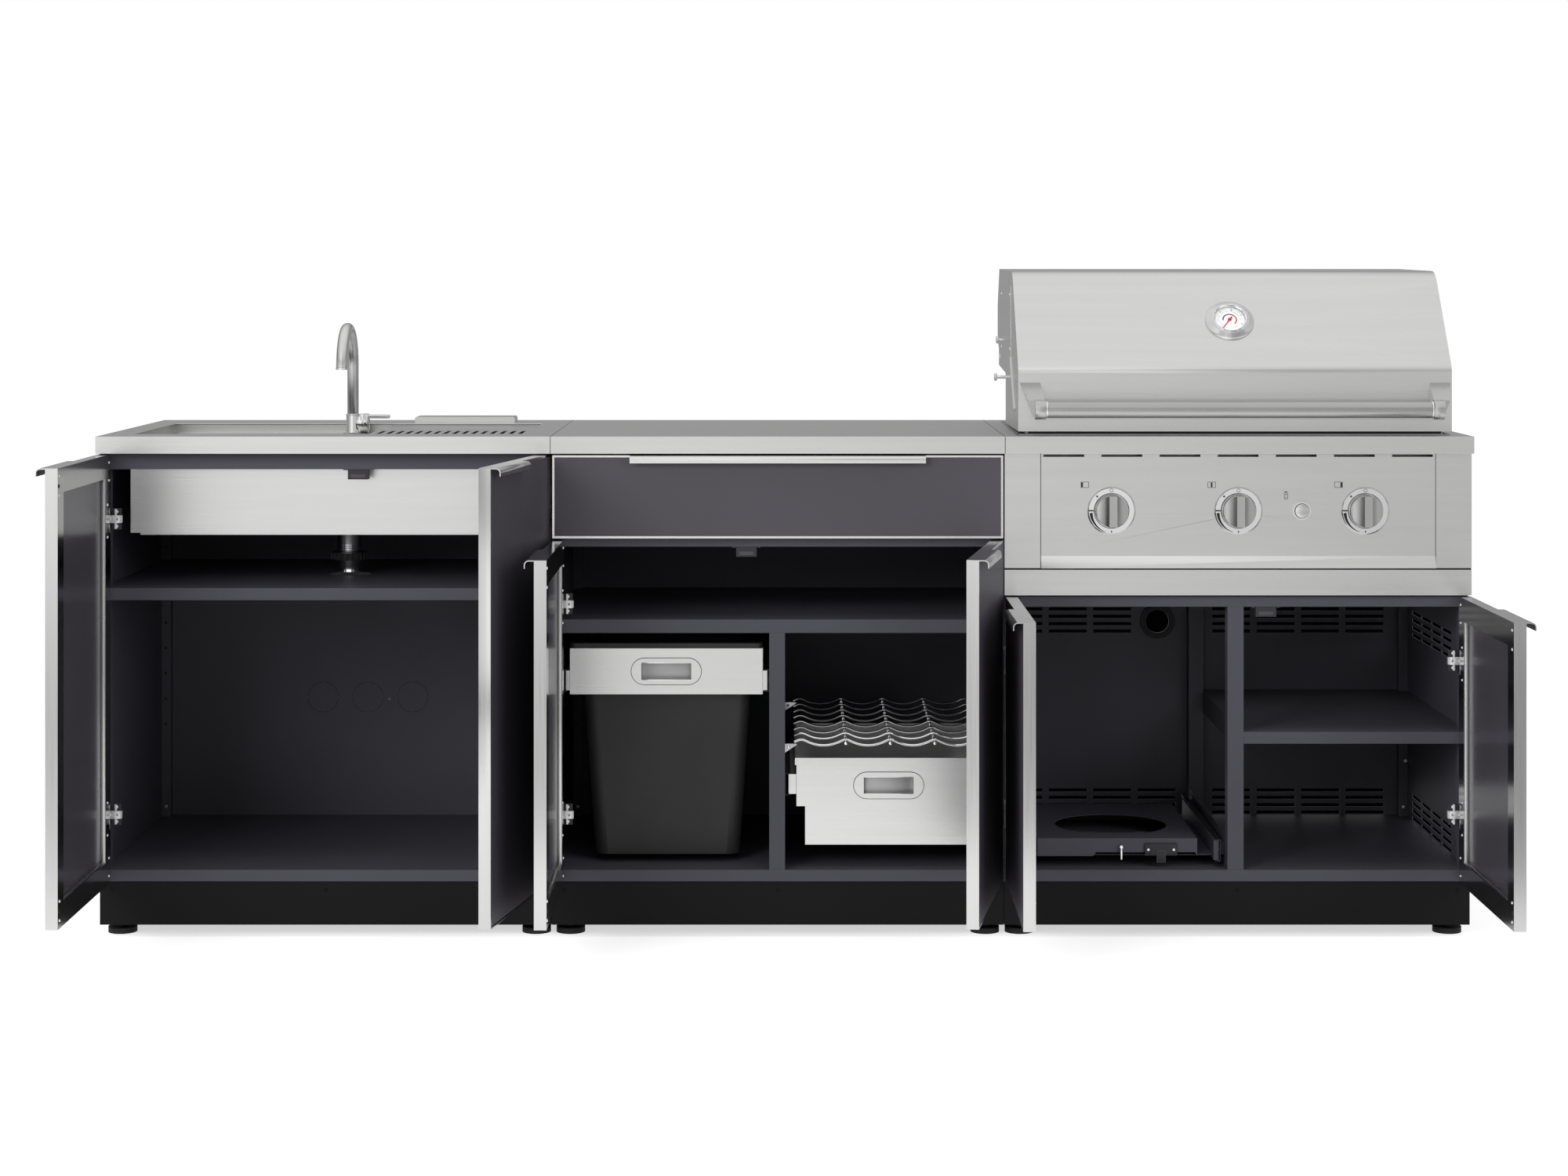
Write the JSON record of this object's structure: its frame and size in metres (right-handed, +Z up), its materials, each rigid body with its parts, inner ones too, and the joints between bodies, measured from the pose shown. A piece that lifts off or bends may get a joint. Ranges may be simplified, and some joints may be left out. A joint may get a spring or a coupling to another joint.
{
  "type": "outdoor kitchen island",
  "caption": "Outdoor kitchen island with a sink cabinet, a bar cabinet with pull-out bin and bottle rack, and a gas grill with a hinged hood, on slate cabinets with stainless counters.",
  "frame": {"origin": "floor level, under the middle of the whole object with its doors open as stored", "axes": "+X along the run from the sink to the grill, +Y from the doors to the back, +Z up"},
  "size_m": [2.494, 0.9988, 1.2015],
  "materials": {
    "slate": "slate grey powder coat",
    "slate_dark": "dark slate powder coat",
    "kick_black": "black powder coat",
    "rubber_black": "black rubber",
    "stainless": "brushed stainless, grain along the run",
    "stainless_dark": "plain stainless",
    "chrome": "polished",
    "black_plastic": "moulded black",
    "bin_plastic": "grained dark grey",
    "zinc": "zinc plated",
    "cast": "seasoned",
    "brass": "plain",
    "glass": "clear",
    "needle_red": "red"
  },
  "bodies": {
    "island": {"sink_cabinet": "slate", "bar_cabinet": "slate", "grill_cabinet": "slate", "toe_kicks": "kick_black", "leveling_feet": "rubber_black", "shelves": "slate", "dividers": "slate", "sink_counter": "stainless", "sink_basin": "stainless", "sink_drain": "chrome", "faucet_base": "chrome", "drain_board": "stainless", "deck_plate": "stainless", "bar_counter": "stainless", "grill_counter": "stainless", "grill_surround": "stainless", "control_panel": "stainless", "control_bezels": "chrome", "door_catches": "black_plastic", "hinge_hardware": "chrome", "fixed_slide_rails": "zinc", "hose_grommet": "rubber_black", "wine_rack": "chrome", "firebox": "stainless_dark", "burners": "stainless_dark", "flame_tamers": "stainless_dark", "cooking_grates": "cast", "warming_rack": "chrome", "gas_manifold": "brass", "drip_tray": "stainless_dark"},
    "sink_door_left": {"sink_door_left_shell": "stainless", "sink_door_left_panel": "slate"},
    "sink_door_right": {"sink_door_right_shell": "stainless", "sink_door_right_panel": "slate"},
    "bar_door_left": {"bar_door_left_shell": "stainless", "bar_door_left_panel": "slate"},
    "bar_door_right": {"bar_door_right_shell": "stainless", "bar_door_right_panel": "slate"},
    "grill_door_left": {"grill_door_left_shell": "stainless", "grill_door_left_panel": "slate"},
    "grill_door_right": {"grill_door_right_shell": "stainless", "grill_door_right_panel": "slate"},
    "top_drawer": {"top_drawer_front": "stainless", "top_drawer_panel": "slate", "top_drawer_box": "slate_dark"},
    "bin_pullout": {"bin_carriage": "stainless", "waste_bin": "bin_plastic"},
    "lower_drawer": {"lower_drawer": "stainless"},
    "tank_tray": {"tank_tray": "slate"},
    "hood": {"hood_shell": "stainless", "hood_handle": "stainless", "gauge_case": "chrome", "gauge_lens": "glass"},
    "gauge_needle": {"gauge_needle": "needle_red"},
    "knob_left": {"knob_left": "chrome"},
    "knob_centre": {"knob_centre": "chrome"},
    "knob_right": {"knob_right": "chrome"},
    "igniter_button": {"igniter_button": "chrome"},
    "faucet_spout": {"faucet_spout": "chrome"},
    "faucet_lever": {"faucet_lever": "chrome"}
  },
  "joints": [
    {"name": "sink_door_left_swing", "type": "hinge", "parent": "island", "child": "sink_door_left", "pos_m": [-1.2232, -0.09115, 0.101], "axis": [0, 0, -1], "range_deg": [-90, 10]},
    {"name": "sink_door_right_swing", "type": "hinge", "parent": "island", "child": "sink_door_right", "pos_m": [-0.4278, -0.09115, 0.101], "axis": [0, 0, 1], "range_deg": [-80, 5]},
    {"name": "bar_door_left_swing", "type": "hinge", "parent": "island", "child": "bar_door_left", "pos_m": [-0.4104, -0.09115, 0.101], "axis": [0, 0, -1], "range_deg": [-90, 0]},
    {"name": "bar_door_right_swing", "type": "hinge", "parent": "island", "child": "bar_door_right", "pos_m": [0.385, -0.09115, 0.101], "axis": [0, 0, 1], "range_deg": [-80, 5]},
    {"name": "grill_door_left_swing", "type": "hinge", "parent": "island", "child": "grill_door_left", "pos_m": [0.4024, -0.09115, 0.101], "axis": [0, 0, -1], "range_deg": [-90, 0]},
    {"name": "grill_door_right_swing", "type": "hinge", "parent": "island", "child": "grill_door_right", "pos_m": [1.2232, -0.09115, 0.101], "axis": [0, 0, 1], "range_deg": [-90, 10]},
    {"name": "top_drawer_slide", "type": "slide", "parent": "island", "child": "top_drawer", "axis": [0, -1, 0], "range_m": [0, 0.35]},
    {"name": "bin_slide", "type": "slide", "parent": "island", "child": "bin_pullout", "axis": [0, -1, 0], "range_m": [0, 0.38]},
    {"name": "lower_drawer_slide", "type": "slide", "parent": "island", "child": "lower_drawer", "axis": [0, -1, 0], "range_m": [0, 0.12]},
    {"name": "tank_tray_slide", "type": "slide", "parent": "island", "child": "tank_tray", "axis": [0, -1, 0], "range_m": [0, 0.36]},
    {"name": "hood_hinge", "type": "hinge", "parent": "island", "child": "hood", "pos_m": [0.8128, 0.41485, 1.03], "axis": [-1, 0, 0], "range_deg": [0, 80]},
    {"name": "gauge_needle_turn", "type": "hinge", "parent": "hood", "child": "gauge_needle", "pos_m": [0.8128, 0.01649, 1.10638], "axis": [0, 0.7746, -0.6324], "range_deg": [0, 260]},
    {"name": "knob_left_turn", "type": "hinge", "parent": "island", "child": "knob_left", "pos_m": [0.58537, -0.11015, 0.7678], "axis": [0, -1, 0], "range_deg": [0, 180]},
    {"name": "knob_centre_turn", "type": "hinge", "parent": "island", "child": "knob_centre", "pos_m": [0.8128, -0.11015, 0.7678], "axis": [0, -1, 0], "range_deg": [0, 180]},
    {"name": "knob_right_turn", "type": "hinge", "parent": "island", "child": "knob_right", "pos_m": [1.04023, -0.11015, 0.7678], "axis": [0, -1, 0], "range_deg": [0, 180]},
    {"name": "igniter_press", "type": "slide", "parent": "island", "child": "igniter_button", "axis": [0, 1, 0], "range_m": [0, 0.004], "stiffness_N_per_m": 800},
    {"name": "faucet_swivel", "type": "hinge", "parent": "island", "child": "faucet_spout", "pos_m": [-0.832, 0.31985, 0.922], "axis": [0, 0, 1], "range_deg": [-90, 90]},
    {"name": "faucet_lever_turn", "type": "hinge", "parent": "island", "child": "faucet_lever", "pos_m": [-0.806, 0.31985, 0.904], "axis": [1, 0, 0], "range_deg": [0, 75]}
  ]
}
